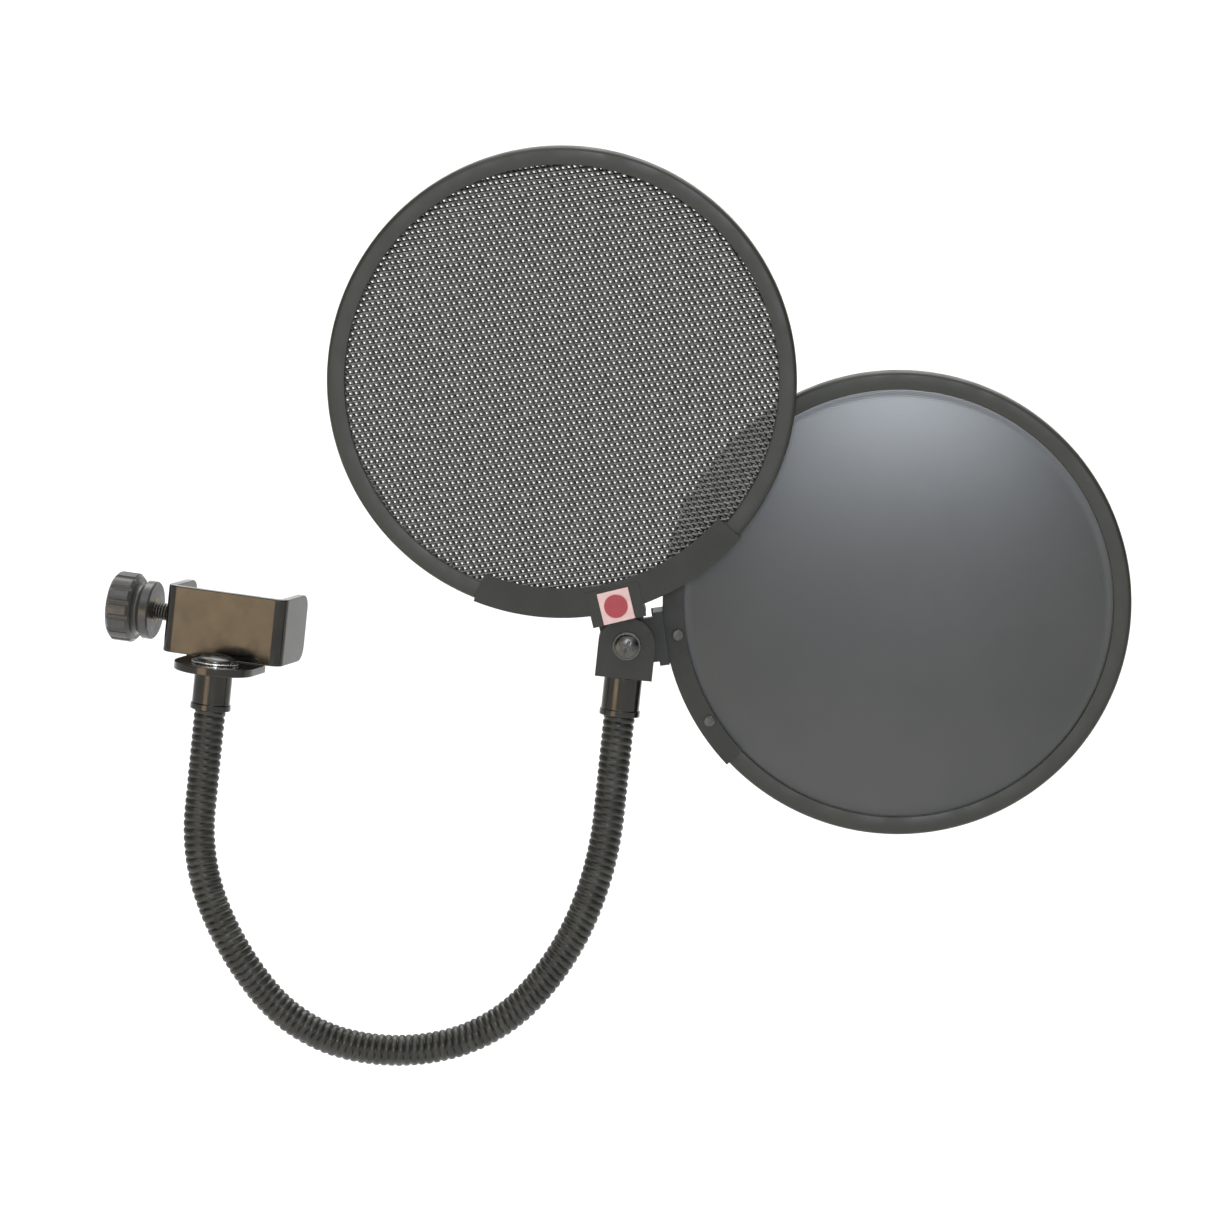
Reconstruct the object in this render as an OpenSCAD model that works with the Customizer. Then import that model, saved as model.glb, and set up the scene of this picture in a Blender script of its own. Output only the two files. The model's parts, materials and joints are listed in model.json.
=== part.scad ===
// Dual-screen pop filter on a gooseneck, with a screw clamp for a microphone stand.
// Millimetres. Origin: centre of the fixed jaw's gripping face. +Z runs up the stand's tube,
// the screens lie in planes square to Y and face -Y, and the clamp is turned about Z.

/* [Clamp] */
// Turn of the clamp about the stand, seen from above
clamp_yaw = 15; // [0:1:30]
// Outer length of the bracket's web
web_len = 42; // [38:1:48]
// Outer depth of the bracket's legs
leg_depth = 26; // [25.5:0.5:30]
// Height of the steel strip
strip_h = 22.5; // [21:0.5:26]
// Thickness of the steel strip
strip_t = 2.8; // [2:0.1:3.2]
// Diameter of the two rubber jaw pads
pad_d = 18; // [16:0.5:18]
// Thickness of the fixed jaw's pad
fixed_pad_t = 4.2; // [3:0.1:5]
// Gap between the jaws as the clamp stands
jaw_gap = 8; // [6:0.5:12]
// Width of the tab that carries the neck
tab_w = 27; // [22:1:30]
// Distance from the web's outer face to the neck's screw
tab_reach = 11; // [10:0.5:14]
// How far the tab stands from the web's middle, towards the fixed jaw
tab_shift = 2; // [-2:0.5:3]

/* [Knob] */
// Outer diameter of the knob's cap
knob_d = 23.2; // [20:0.2:28]
// Length of the knob's cap
knob_cap_len = 8.5; // [7:0.5:12]
// Number of grip grooves in the cap
knob_grooves = 14; // [8:1:20]
// Diameter of the clamp screw
screw_d = 5.9; // [5.7:0.05:5.95]

/* [Neck] */
// Outer diameter of the wound gooseneck
neck_d = 10.5; // [9.5:0.1:11]
// Length of each of its nine links
link_len = 33.5; // [30:0.5:36]
// Diameter of the end ferrules
ferrule_d = 12.7; // [12:0.1:14]
// Visible length of the lower ferrule
ferrule_low_len = 12; // [10:0.5:16]
// Visible length of the upper ferrule
ferrule_up_len = 13; // [10:0.5:16]

/* [Screens] */
// Outer diameter of each screen
screen_d = 155; // [140:1:170]
// Width of the hoop's band
band_w = 6; // [5:0.5:7]
// Depth of each hoop
hoop_depth = 7; // [7:0.5:9]
// Distance from the pivot to each screen's centre
arm_len = 91; // [90:1:100]
// Width of the arms
arm_w = 18; // [14:1:18]
// Lean of the mesh screen's arm from upright
mesh_lean = -19.5; // [-60:0.5:80]
// Lean of the nylon screen's arm from upright
nylon_lean = 76; // [-50:0.5:85]

/* [Hidden] */

$fn = 72;

// Colours
black_steel = [0.10, 0.09, 0.08];
black_plastic = [0.13, 0.13, 0.12];
dark_olive = [0.26, 0.26, 0.22];
dark_rubber = [0.20, 0.20, 0.20];
plated = [0.70, 0.70, 0.68];
brass = [0.75, 0.62, 0.32];
wire_grey = [0.45, 0.45, 0.42];
nylon_grey = [0.34, 0.34, 0.36];
pale = [0.92, 0.88, 0.86];
red = [0.75, 0.10, 0.12];

// Gap left between pieces that stand close
play = 0.05;
// Gap round a pin that something turns on
pin_play = 0.06;
// Small relief where a cut runs out through a face
over = 1;

// Clamp, along its own grip axis: +x towards the fixed jaw's leg, -y towards the viewer
leg_in = fixed_pad_t;
leg_out = leg_in + strip_t;
web_left = leg_out - web_len;
left_in = web_left + strip_t;
pad_clear = 3.2;
web_front = -pad_d/2 - pad_clear - strip_t;
web_back = web_front + strip_t;
leg_end = web_front + leg_depth;
bend_r = 4;
leg_corner_r = 5;
tab_x = (web_left + leg_out)/2 + tab_shift;
tab_y = web_front - tab_reach;
tab_top = -strip_h/2;
tab_bottom = tab_top - strip_t;
tab_hole_r = 3.2;
neck_screw_r = tab_hole_r - play;

// Thread insert in the left leg
insert_r = 3.8;
insert_flange_r = 4.4;
insert_flange_t = 2.3;
insert_flare_r = 4.6;
insert_flare_t = 0.8;
screw_r = screw_d/2;
thread_bore_r = screw_r + play;

// Pressure foot
foot_pad_t = 2.6;
foot_disc_r = 8.5;
foot_disc_t = 2;
collar_r = 5;
collar_len = 3.5;
tip_r = 2.2;
tip_bore_r = tip_r + pin_play;
tip_back = 0.4;
foot_disc_x = -jaw_gap - foot_pad_t;
collar_x = foot_disc_x - foot_disc_t;
collar_end = collar_x - collar_len;
ring_r = 4;
ring_t = 0.8;
ring_pocket_r = 4.6;
ring_groove_r = 1.7;
ring_back = 0.1;
ring_x = collar_x + ring_back;

// Knob, measured from its rim along -x
knob_gap = 5.3;
knob_x = web_left - insert_flange_t - knob_gap;
rim_r = 9.75;
rim_len = 3.6;
rim_edge = 0.5;
waist_r = 8.1;
waist_end_r = 9.05;
waist_len = 2.4;
knob_len = rim_len + waist_len + knob_cap_len;
bush_r = 4.5;
bush_len = 11;
cap_edge = 1.2;
groove_r = 1.1;
groove_out = 0.4;
end_cap_r = 6;
end_cap_t = 1;

// Neck: where it leaves the tab, and how far each link turns
neck_x = tab_x*cos(clamp_yaw) + tab_y*sin(clamp_yaw);
neck_y = -tab_x*sin(clamp_yaw) + tab_y*cos(clamp_yaw);
washer_t = 0.6;
neck_z = tab_bottom - play - washer_t;
link_bends = [0, 27, 18, 37, 28, 34, 20, 16, 0];
links = len(link_bends);
wrap_in_r = 4.2;
core_r = 3.2;
core_bore_r = 1.6;
ball_r = 3.9;
link_gap = 1.3;
core_gap = 4.9;
socket_len = 6;
socket_spare = 0.5;
socket_r = neck_d/2 + play;
ferrule_rim = 0.4;
ferrule_rim_h = 2;
screw_head_r = 7;
screw_head_edge = 0.6;
screw_head_dome = 2;

// Direction in which link k sets off, in the X-Z plane, anticlockwise from +X
function heading(k) = k == 0 ? -90 : heading(k - 1) + link_bends[k - 1];
// Bend radius of link k
function bend_radius(k) = link_len/(link_bends[k]*PI/180);
// Step from the start of link k to its end
function step(k) = link_bends[k] == 0
    ? link_len*[cos(heading(k)), sin(heading(k))]
    : bend_radius(k)*[sin(heading(k) + link_bends[k]) - sin(heading(k)),
                      cos(heading(k)) - cos(heading(k) + link_bends[k])];
// Start of link k as [x, z]
function start(k) = k == 0 ? [neck_x, neck_z - ferrule_low_len] : start(k - 1) + step(k - 1);

// Hub, measured from the pivot
fork_bottom = 11;
fork_floor = 9;
fork_w = 19;
cheek_r = fork_w/2;
cheek_in = 4;
cheek_out = 6.4;
pivot_r = 2.25;
sleeve_r = 3;
knuckle_bore_r = sleeve_r + pin_play;
knuckle_r = 8.5;
neck_of_arm = 15;
mid_washer_t = 0.8;
side_washer_t = 0.6;
knuckle_in = mid_washer_t/2 + play;
knuckle_out = cheek_in - side_washer_t - play;
washer_disc_r = 8;
stud_r = 2.5;
stud_recess = 0.1;
head_r = 4;
head_t = 2.2;
shank_end = 0.6;
recess_len = 4.4;
recess_w = 0.9;
recess_depth = 1.1;
recess_turn = 20;
big_washer_r = 4.7;
big_washer_t = 0.8;
nut_r = 4.6;
nut_t = 3.5;
pivot_x = start(links)[0];
pivot_z = start(links)[1] + ferrule_up_len + fork_bottom;

// Screens, measured from the pivot's plane outwards and from each screen's centre
screen_r = screen_d/2;
band_in_r = screen_r - band_w;
hoop_in = 5.5;
hoop_out = hoop_in + hoop_depth;
flange_t = 1.5;
wall_t = 1.8;
wall_in_r = screen_r - wall_t;
insert_ring_r = wall_in_r - 2*play;
edge_r = 1.2;
lip_edge = 0.4;
back_edge = 0.5;
mesh_t = 1;
gasket_t = 1.5;
nylon_t = 0.5;
tension_in_r = band_in_r - 1;
rear_ring_t = 1.7;
cradle_t = 1.2;
cradle_half = 35.4;
cradle_in_r = screen_r - 9;
hoop_seat_r = screen_r + 2*play;
main_in = hoop_out;
main_out = hoop_out + cradle_t;
cover_in = hoop_in - cradle_t;
cradle_wall = 0.8;
riser_u = 9.9;
riser_foot = 0.7;
riser_top = 13.1;
riser_lip = 3;
riser_run_in = 0.2;
badge_margin = 1;
pad_t = 0.3;
badge = 10.6;
badge_u = 14.7;
badge_t = 0.8;
dot_r = 3.9;
dot_t = 0.4;
cradle_screw_r = 1;
cradle_screw_len = 3.6;
cradle_head_r = 1.8;
cradle_head_t = 0.9;
cradle_screw_at = band_in_r + 2.4;
cradle_screw_angles = [-24, 0, 24];

// ---- helpers ----

// Points of an arc about [x, y], from angle a0 to a1 in equal steps
function arc(x, y, r, a0, a1, steps = 8) =
    [for (i = [0:steps]) [x + r*cos(a0 + (a1 - a0)*i/steps), y + r*sin(a0 + (a1 - a0)*i/steps)]];

// Puts a shape drawn in the clamp's own frame in its place
module in_clamp() rotate([0, 0, -clamp_yaw]) children();

// A bar along -x from x0, of the given radius and length
module bar(x0, r, len) translate([x0, 0, 0]) rotate([0, -90, 0]) cylinder(r = r, h = len);

// A round rod along Y at the pivot's frame, from y0 to y1
module pin_y(r, y0, y1) translate([0, y1, 0]) rotate([90, 0, 0]) cylinder(r = r, h = y1 - y0);

// Puts a shape in the hub's frame
module at_pivot() translate([pivot_x, neck_y, pivot_z]) children();

// Puts a shape in an arm's frame: z runs along the arm
module on_arm(lean) at_pivot() rotate([0, lean, 0]) children();

// A ring about the screen's centre, from y0 to y1, over a part turn if asked
module ring(r0, r1, y0, y1, a0 = 0, turn = 360)
    translate([0, 0, arm_len]) rotate([90, 0, 0]) rotate([0, 0, a0])
        rotate_extrude(angle = turn) translate([r0, -y1]) square([r1 - r0, y1 - y0]);

// A flat disc about the screen's centre
module disc(r, y0, y1) translate([0, 0, arm_len]) pin_y(r, y0, y1);

// Places a shape at each cradle screw, about the screen's centre
module at_cradle_screws()
    for (a = cradle_screw_angles)
        translate([0, 0, arm_len]) rotate([0, a, 0]) translate([0, 0, -cradle_screw_at]) children();

// ---- clamp ----

// Plan of the bent strip: outside round the two bends, back round the inside
module strip_plan()
    polygon(concat(
        [[web_left, leg_end]],
        arc(web_left + bend_r, web_front + bend_r, bend_r, 180, 270),
        arc(leg_out - bend_r, web_front + bend_r, bend_r, 270, 360),
        [[leg_out, leg_end], [leg_in, leg_end]],
        arc(leg_in - bend_r + strip_t, web_back + bend_r - strip_t, bend_r - strip_t, 0, -90, 4),
        arc(left_in + bend_r - strip_t, web_back + bend_r - strip_t, bend_r - strip_t, 270, 180, 4),
        [[left_in, leg_end]]));

// Side of the strip, seen along the grip: it rounds the legs' free corners
module strip_side()
    polygon(concat(
        [[web_front - over, -strip_h/2]],
        arc(leg_end - leg_corner_r, leg_corner_r - strip_h/2, leg_corner_r, 270, 360),
        arc(leg_end - leg_corner_r, strip_h/2 - leg_corner_r, leg_corner_r, 0, 90),
        [[web_front - over, strip_h/2]]));

// Plan of the tab, with a round end about the neck's screw
module tab_plan()
    polygon(concat(
        [[tab_x + tab_w/2, web_back], [tab_x - tab_w/2, web_back]],
        arc(tab_x, tab_y, tab_w/2, 180, 360, 24)));

module clamp_bracket() color(black_steel) in_clamp() difference() {
    union() {
        intersection() {
            translate([0, 0, -strip_h/2 - over]) linear_extrude(strip_h + 2*over) strip_plan();
            translate([web_left - over, 0, 0]) rotate([90, 0, 90])
                linear_extrude(web_len + 2*over) strip_side();
        }
        translate([0, 0, tab_bottom]) linear_extrude(strip_t) tab_plan();
    }
    translate([tab_x, tab_y, tab_bottom - over]) cylinder(r = tab_hole_r, h = strip_t + 2*over);
    bar(left_in + over, insert_r, strip_t + 2*over);
}

module thread_insert() color(plated) in_clamp() difference() {
    union() {
        bar(left_in + insert_flare_t, insert_flare_r, insert_flare_t);
        bar(left_in + insert_flare_t/2, insert_r, strip_t + insert_flare_t);
        bar(web_left, insert_flange_r, insert_flange_t);
    }
    bar(left_in + over, thread_bore_r, strip_t + insert_flange_t + 2*over);
}

module fixed_jaw_pad() color(dark_rubber) in_clamp() bar(leg_in, pad_d/2, fixed_pad_t);

module pressure_pad() color(dark_rubber) in_clamp() bar(-jaw_gap, pad_d/2, foot_pad_t);

module pressure_plate() color(plated) in_clamp() difference() {
    union() {
        bar(foot_disc_x, foot_disc_r, foot_disc_t);
        bar(collar_x + over, collar_r, collar_len + over);
    }
    bar(foot_disc_x + over, ring_pocket_r, foot_disc_t + over);
    bar(collar_x + over, tip_bore_r, collar_len + 2*over);
}

// ---- knob ----

module clamp_screw() color(plated) in_clamp() difference() {
    union() {
        bar(collar_end - play, screw_r, collar_end - play - knob_x + bush_len);
        bar(foot_disc_x - tip_back, tip_r, foot_disc_x - collar_end);
    }
    difference() {
        bar(ring_x + ring_t + play, tip_r + over, ring_t + 2*play);
        bar(ring_x + over, ring_groove_r, 2*over + ring_t);
    }
}

module retaining_ring() color(plated) in_clamp() difference() {
    bar(ring_x + ring_t, ring_r, ring_t);
    bar(ring_x + ring_t + over, ring_groove_r, ring_t + 2*over);
}

// Half section of the knob, radius against distance from the rim
module knob_section()
    polygon(concat(
        [[0, 0], [rim_r - rim_edge, 0], [rim_r, rim_edge], [rim_r, rim_len - rim_edge],
         [rim_r - rim_edge, rim_len]],
        [for (i = [0:8]) [waist_end_r - (waist_end_r - waist_r)*sin(180*i/8),
                          rim_len + waist_len*i/8]],
        [[knob_d/2 - cap_edge, rim_len + waist_len], [knob_d/2, rim_len + waist_len + cap_edge],
         [knob_d/2, knob_len - cap_edge], [knob_d/2 - cap_edge, knob_len], [0, knob_len]]));

module knob_body() color(black_plastic) in_clamp()
    translate([knob_x, 0, 0]) rotate([0, -90, 0]) difference() {
        rotate_extrude() knob_section();
        translate([0, 0, -over]) cylinder(r = bush_r, h = bush_len + over);
        translate([0, 0, knob_len - end_cap_t]) cylinder(r = end_cap_r, h = end_cap_t + over);
        for (i = [1:knob_grooves])
            rotate([0, 0, 360*i/knob_grooves])
                translate([knob_d/2 + groove_out, 0, rim_len + waist_len - over])
                    cylinder(r = groove_r, h = knob_cap_len + 2*over);
    }

module knob_bush() color(brass) in_clamp() difference() {
    bar(knob_x, bush_r, bush_len);
    bar(knob_x + over, screw_r, bush_len + 2*over);
}

module knob_end_cap() color(black_plastic) in_clamp()
    bar(knob_x - knob_len + end_cap_t, end_cap_r, end_cap_t);

// ---- neck ----

module at_neck() translate([neck_x, neck_y, 0]) children();

module neck_screw() color(plated) at_neck() {
    head_z = tab_top + play + washer_t;
    edge_z = head_z + screw_head_edge;
    end_z = neck_z - ferrule_low_len + socket_len + play;
    rotate_extrude() polygon(concat(
        [[0, head_z], [screw_head_r, head_z], [screw_head_r, edge_z]],
        [for (i = [1:7]) [screw_head_r*cos(90*i/8), edge_z + screw_head_dome*sin(90*i/8)]],
        [[0, edge_z + screw_head_dome]]));
    translate([0, 0, end_z]) cylinder(r = neck_screw_r, h = edge_z - end_z);
}

module flat_washer(r, z) color(plated) at_neck() translate([0, 0, z]) difference() {
    cylinder(r = r, h = washer_t);
    translate([0, 0, -over]) cylinder(r = neck_screw_r, h = washer_t + 2*over);
}

module head_washer() flat_washer(8, tab_top + play);

module swivel_washer() flat_washer(ferrule_d/2, neck_z);

module ferrule_lower() color(black_plastic) at_neck() difference() {
    union() {
        translate([0, 0, neck_z - ferrule_low_len]) cylinder(d = ferrule_d, h = ferrule_low_len);
        translate([0, 0, neck_z - ferrule_low_len])
            cylinder(r = ferrule_d/2 + ferrule_rim, h = ferrule_rim_h);
    }
    translate([0, 0, neck_z - ferrule_low_len - over]) cylinder(r = socket_r, h = socket_len + over);
    translate([0, 0, neck_z - ferrule_low_len]) cylinder(r = neck_screw_r, h = ferrule_low_len + over);
}

module ferrule_upper() color(black_plastic) translate([pivot_x, neck_y, 0]) difference() {
    union() {
        translate([0, 0, start(links)[1]]) cylinder(d = ferrule_d, h = ferrule_up_len);
        translate([0, 0, start(links)[1]])
            cylinder(r = ferrule_d/2 + ferrule_rim, h = ferrule_rim_h);
    }
    translate([0, 0, start(links)[1] - over]) cylinder(r = socket_r, h = socket_len + over);
    translate([0, 0, start(links)[1]]) cylinder(r = stud_r, h = ferrule_up_len + over);
}

// A tube along link k, from s0 past its start to s1 before its end
module link_tube(k, r_out, r_in, s0, s1) {
    bend = link_bends[k];
    translate([start(k)[0], neck_y, start(k)[1]]) rotate([90, 0, 0]) rotate([0, 0, heading(k)])
        if (bend == 0)
            translate([s0, 0, 0]) rotate([0, 90, 0]) difference() {
                cylinder(r = r_out, h = link_len - s0 - s1);
                translate([0, 0, -over]) cylinder(r = r_in, h = link_len - s0 - s1 + 2*over);
            }
        else
            translate([0, bend_radius(k), 0]) rotate([0, 0, -90 + bend*s0/link_len])
                rotate_extrude(angle = bend*(1 - (s0 + s1)/link_len))
                    translate([bend_radius(k), 0]) difference() {
                        circle(r = r_out);
                        circle(r = r_in);
                    }
}

// Outer strip of link k: the end links run on into their ferrules
module neck_wrap(k) color(black_plastic)
    link_tube(k, neck_d/2, wrap_in_r, k == 0 ? socket_spare - socket_len : link_gap,
              k == links - 1 ? socket_spare - socket_len : link_gap);

// Inner spring of link k, with the ball at its far end on which the next link turns
module neck_core(k) color(plated) {
    last = k == links - 1;
    link_tube(k, core_r, core_bore_r, k == 0 ? socket_spare - socket_len : core_gap,
              last ? socket_spare - socket_len : 0);
    if (!last)
        translate([start(k + 1)[0], neck_y, start(k + 1)[1]]) sphere(r = ball_r);
}

// ---- hub ----

module hub_fork() color(dark_olive) at_pivot() difference() {
    union() {
        for (y = [-cheek_out, cheek_in])
            translate([0, y + cheek_out - cheek_in, 0]) rotate([90, 0, 0])
                linear_extrude(cheek_out - cheek_in)
                    polygon(concat(arc(0, 0, cheek_r, 0, 180, 24),
                                   [[-cheek_r, -fork_bottom], [cheek_r, -fork_bottom]]));
        translate([-cheek_r, -cheek_out, -fork_bottom])
            cube([fork_w, 2*cheek_out, fork_bottom - fork_floor]);
    }
    pin_y(pivot_r, -cheek_out - over, cheek_out + over);
    translate([0, 0, -fork_bottom - over]) cylinder(r = stud_r, h = fork_bottom - fork_floor + 2*over);
}

module hub_stud() color(plated) at_pivot() {
    end_z = socket_len + play - ferrule_up_len - fork_bottom;
    translate([0, 0, end_z]) cylinder(r = stud_r, h = -fork_floor - stud_recess - end_z);
}

// Pan head with a cross recess
module pivot_screw() color(plated) at_pivot() difference() {
    head_y = -cheek_out - big_washer_t;
    union() {
        translate([0, head_y, 0]) rotate([90, 0, 0]) rotate_extrude()
            polygon(concat([[0, 0], [head_r, 0], [head_r, head_t/2]],
                           [for (i = [1:5]) [head_r*cos(90*i/6), head_t/2*(1 + sin(90*i/6))]],
                           [[0, head_t]]));
        pin_y(pivot_r, head_y - head_t/2, cheek_out + big_washer_t + nut_t + shank_end);
    }
    for (a = [0, 90])
        rotate([0, a + recess_turn, 0])
            translate([-recess_len/2, head_y - head_t - over, -recess_w/2])
                cube([recess_len, over + recess_depth, recess_w]);
}

// A washer on the pivot, from y0 to y1
module pivot_ring(r, bore, y0, y1) at_pivot() difference() {
    pin_y(r, y0, y1);
    pin_y(bore, y0 - over, y1 + over);
}

module pivot_washer() color(plated)
    pivot_ring(big_washer_r, pivot_r, -cheek_out - big_washer_t, -cheek_out);

module nut_washer() color(plated)
    pivot_ring(big_washer_r, pivot_r, cheek_out, cheek_out + big_washer_t);

module pivot_sleeve() color(brass) pivot_ring(sleeve_r, pivot_r, -cheek_in, cheek_in);

module friction_washers() color(dark_rubber) {
    pivot_ring(washer_disc_r, sleeve_r, -cheek_in, -knuckle_out - play);
    pivot_ring(washer_disc_r, sleeve_r, -knuckle_in + play, knuckle_in - play);
    pivot_ring(washer_disc_r, sleeve_r, knuckle_out + play, cheek_in);
}

module pivot_nut() color(plated) at_pivot() difference() {
    translate([0, cheek_out + big_washer_t + nut_t, 0]) rotate([90, 0, 0])
        cylinder(r = nut_r, h = nut_t, $fn = 6);
    pin_y(pivot_r, cheek_out, cheek_out + big_washer_t + nut_t + over);
}

// ---- arms ----

// Moulded arm, drawn for a screen behind the pivot's plane: a knuckle, a riser that steps clear of
// the fork, and a curved channel that takes the hoop
module arm_shape() difference() {
    union() {
        pin_y(knuckle_r, knuckle_in, knuckle_out);
        translate([-neck_of_arm/2, knuckle_in, 0])
            cube([neck_of_arm, knuckle_out - knuckle_in, riser_u + 1]);
        translate([-arm_w/2, 0, 0]) rotate([90, 0, 90]) linear_extrude(arm_w) riser_side();
        channel();
    }
    pin_y(knuckle_bore_r, knuckle_in - over, knuckle_out + over);
    at_cradle_screws() pin_y(cradle_screw_r, cover_in - over, hoop_in + over);
}

// Side view of the riser: the wall, the badge's plate on the outside and the lip on the inside
module riser_side()
    let (pad_out = main_out + pad_t, pad_top = badge_u + badge/2 + badge_margin,
         pad_in = main_in + riser_run_in, lip_top = riser_top + riser_lip)
        polygon([
            [knuckle_in, riser_u], [main_in, riser_u], [main_in, riser_u - riser_foot],
            [pad_out, riser_u - riser_foot], [pad_out, pad_top], [pad_in, pad_top],
            [pad_in, riser_top], [hoop_in - riser_run_in, riser_top],
            [hoop_in - riser_run_in, lip_top], [cover_in + riser_run_in, lip_top],
            [cover_in + riser_run_in, riser_top], [knuckle_in, riser_top]]);

// Channel that holds the hoop on both faces and round its rim
module channel() translate([0, 0, arm_len]) rotate([90, 0, 0]) rotate([0, 0, 270 - cradle_half])
    rotate_extrude(angle = 2*cradle_half) polygon([
        [band_in_r, -cover_in], [screen_r + cradle_wall, -cover_in],
        [screen_r + cradle_wall, -main_out], [cradle_in_r, -main_out], [cradle_in_r, -main_in],
        [hoop_seat_r, -main_in], [hoop_seat_r, -hoop_in], [band_in_r, -hoop_in]]);

// Pan-head screws through the channel's inner lip into the hoop
module cradle_screw_set()
    at_cradle_screws() {
        pin_y(cradle_screw_r, cover_in - cradle_head_t/2, cover_in + cradle_screw_len);
        pin_y(cradle_head_r, cover_in - cradle_head_t, cover_in);
    }

// The mesh screen is the same assembly turned to the viewer's side of the pivot
module on_mesh_arm() on_arm(mesh_lean) mirror([0, 1, 0]) children();

module on_nylon_arm() on_arm(nylon_lean) children();

module metal_arm() color(dark_olive) on_mesh_arm() arm_shape();

module metal_cradle_screws() color(plated) on_mesh_arm() cradle_screw_set();

module fabric_arm() color(dark_olive) on_nylon_arm() arm_shape();

module fabric_cradle_screws() color(plated) on_nylon_arm() cradle_screw_set();

module badge_plate() color(pale) on_mesh_arm()
    translate([-badge/2, main_out + pad_t, badge_u - badge/2]) cube([badge, badge_t, badge]);

module badge_dot() color(red) on_mesh_arm() translate([0, 0, badge_u])
    pin_y(dot_r, main_out + pad_t + badge_t, main_out + pad_t + badge_t + dot_t);

// ---- hoops ----

// Hoop with a flange on its face side and a wall round it; face is the flange's outer level and
// way is +1 where the wall runs towards +Y
module hoop_shell(face, way) translate([0, 0, arm_len]) rotate([90, 0, 0]) rotate_extrude() {
    f = -face;
    w = -way;
    polygon(concat(
        [[band_in_r, f + w*flange_t], [band_in_r, f + w*lip_edge], [band_in_r + lip_edge, f]],
        [for (i = [0:4]) [screen_r - edge_r + edge_r*sin(90*i/4), f + w*edge_r*(1 - cos(90*i/4))]],
        [[screen_r, f + w*(hoop_depth - back_edge)], [screen_r - back_edge, f + w*hoop_depth],
         [wall_in_r, f + w*hoop_depth], [wall_in_r, f + w*flange_t]]));
}

// Screw holes in the ring that the cradle screws reach
module hoop_holes(y1) at_cradle_screws() pin_y(cradle_screw_r, hoop_in - over, y1);

module metal_hoop_front() color(dark_olive) on_mesh_arm() hoop_shell(hoop_out, -1);

module metal_mesh() color(wire_grey) on_mesh_arm()
    disc(insert_ring_r, hoop_out - flange_t - mesh_t, hoop_out - flange_t);

module metal_gasket() color(dark_rubber) on_mesh_arm()
    ring(band_in_r, insert_ring_r, hoop_out - flange_t - mesh_t - gasket_t,
         hoop_out - flange_t - mesh_t);

module metal_hoop_rear() color(dark_olive) on_mesh_arm() difference() {
    ring(band_in_r, wall_in_r, hoop_in, hoop_out - flange_t - mesh_t - gasket_t);
    hoop_holes(cover_in + cradle_screw_len);
}

module fabric_hoop_front() color(dark_olive) on_nylon_arm() difference() {
    hoop_shell(hoop_in, 1);
    hoop_holes(hoop_in + flange_t + over);
}

module fabric_front() color(nylon_grey) on_nylon_arm() difference() {
    disc(insert_ring_r, hoop_in + flange_t, hoop_in + flange_t + nylon_t);
    hoop_holes(hoop_out);
}

module tension_hoop() color(black_plastic) on_nylon_arm() difference() {
    ring(tension_in_r, insert_ring_r, hoop_in + flange_t + nylon_t, hoop_out - rear_ring_t - nylon_t);
    hoop_holes(cover_in + cradle_screw_len);
}

module fabric_rear() color(nylon_grey) on_nylon_arm()
    disc(insert_ring_r, hoop_out - rear_ring_t - nylon_t, hoop_out - rear_ring_t);

module fabric_hoop_rear() color(dark_olive) on_nylon_arm()
    ring(band_in_r, wall_in_r, hoop_out - rear_ring_t, hoop_out);

// ---- what is drawn ----

clamp_bracket();
thread_insert();
fixed_jaw_pad();
pressure_plate();
pressure_pad();
clamp_screw();
retaining_ring();
knob_body();
knob_bush();
knob_end_cap();
neck_screw();
head_washer();
swivel_washer();
ferrule_lower();
ferrule_upper();
neck_wrap(0);  // neck_wrap_1
neck_wrap(1);  // neck_wrap_2
neck_wrap(2);  // neck_wrap_3
neck_wrap(3);  // neck_wrap_4
neck_wrap(4);  // neck_wrap_5
neck_wrap(5);  // neck_wrap_6
neck_wrap(6);  // neck_wrap_7
neck_wrap(7);  // neck_wrap_8
neck_wrap(8);  // neck_wrap_9
neck_core(0);  // neck_core_1
neck_core(1);  // neck_core_2
neck_core(2);  // neck_core_3
neck_core(3);  // neck_core_4
neck_core(4);  // neck_core_5
neck_core(5);  // neck_core_6
neck_core(6);  // neck_core_7
neck_core(7);  // neck_core_8
neck_core(8);  // neck_core_9
hub_fork();
hub_stud();
pivot_screw();
pivot_washer();
pivot_sleeve();
friction_washers();
nut_washer();
pivot_nut();
metal_arm();
metal_cradle_screws();
metal_hoop_front();
metal_mesh();
metal_gasket();
metal_hoop_rear();
badge_plate();
badge_dot();
fabric_arm();
fabric_cradle_screws();
fabric_hoop_front();
fabric_front();
tension_hoop();
fabric_rear();
fabric_hoop_rear();
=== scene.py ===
"""Looks for a dual-screen pop filter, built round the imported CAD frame. Metres throughout."""

import json
import math

import bmesh
import bpy
import numpy as np
from mathutils import Matrix, Vector

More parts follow.
